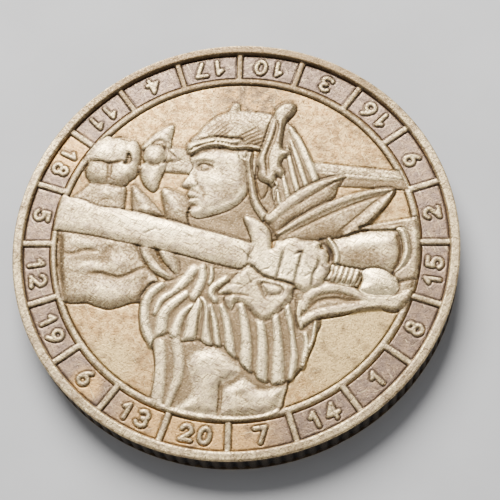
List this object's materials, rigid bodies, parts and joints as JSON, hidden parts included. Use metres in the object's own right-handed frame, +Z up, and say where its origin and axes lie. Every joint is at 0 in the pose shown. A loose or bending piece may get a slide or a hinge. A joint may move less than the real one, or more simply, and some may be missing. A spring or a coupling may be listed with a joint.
{
  "type": "challenge coin",
  "caption": "Round struck coin with a raised rim, a band of numbered cells, a helmeted figure with a sword in relief, and a finely reeded edge.",
  "frame": {"origin": "centre of the flat lower rim face that the coin lies on", "axes": "+Z up out of the obverse, along the coin's axis; +Y towards the top of the obverse design"},
  "size_m": [0.04, 0.04, 0.003],
  "materials": {
    "antique_silver": "antique silver plate with a satin surface, pale on the raised tops, with brown and golden toning in the field and hollows",
    "core_edge": "plated brass edge, darkened between the reeds and worn pale on their crests"
  },
  "bodies": {
    "root": {"core": "core_edge", "obverse_face": "antique_silver", "reverse_face": "antique_silver"}
  },
  "joints": []
}
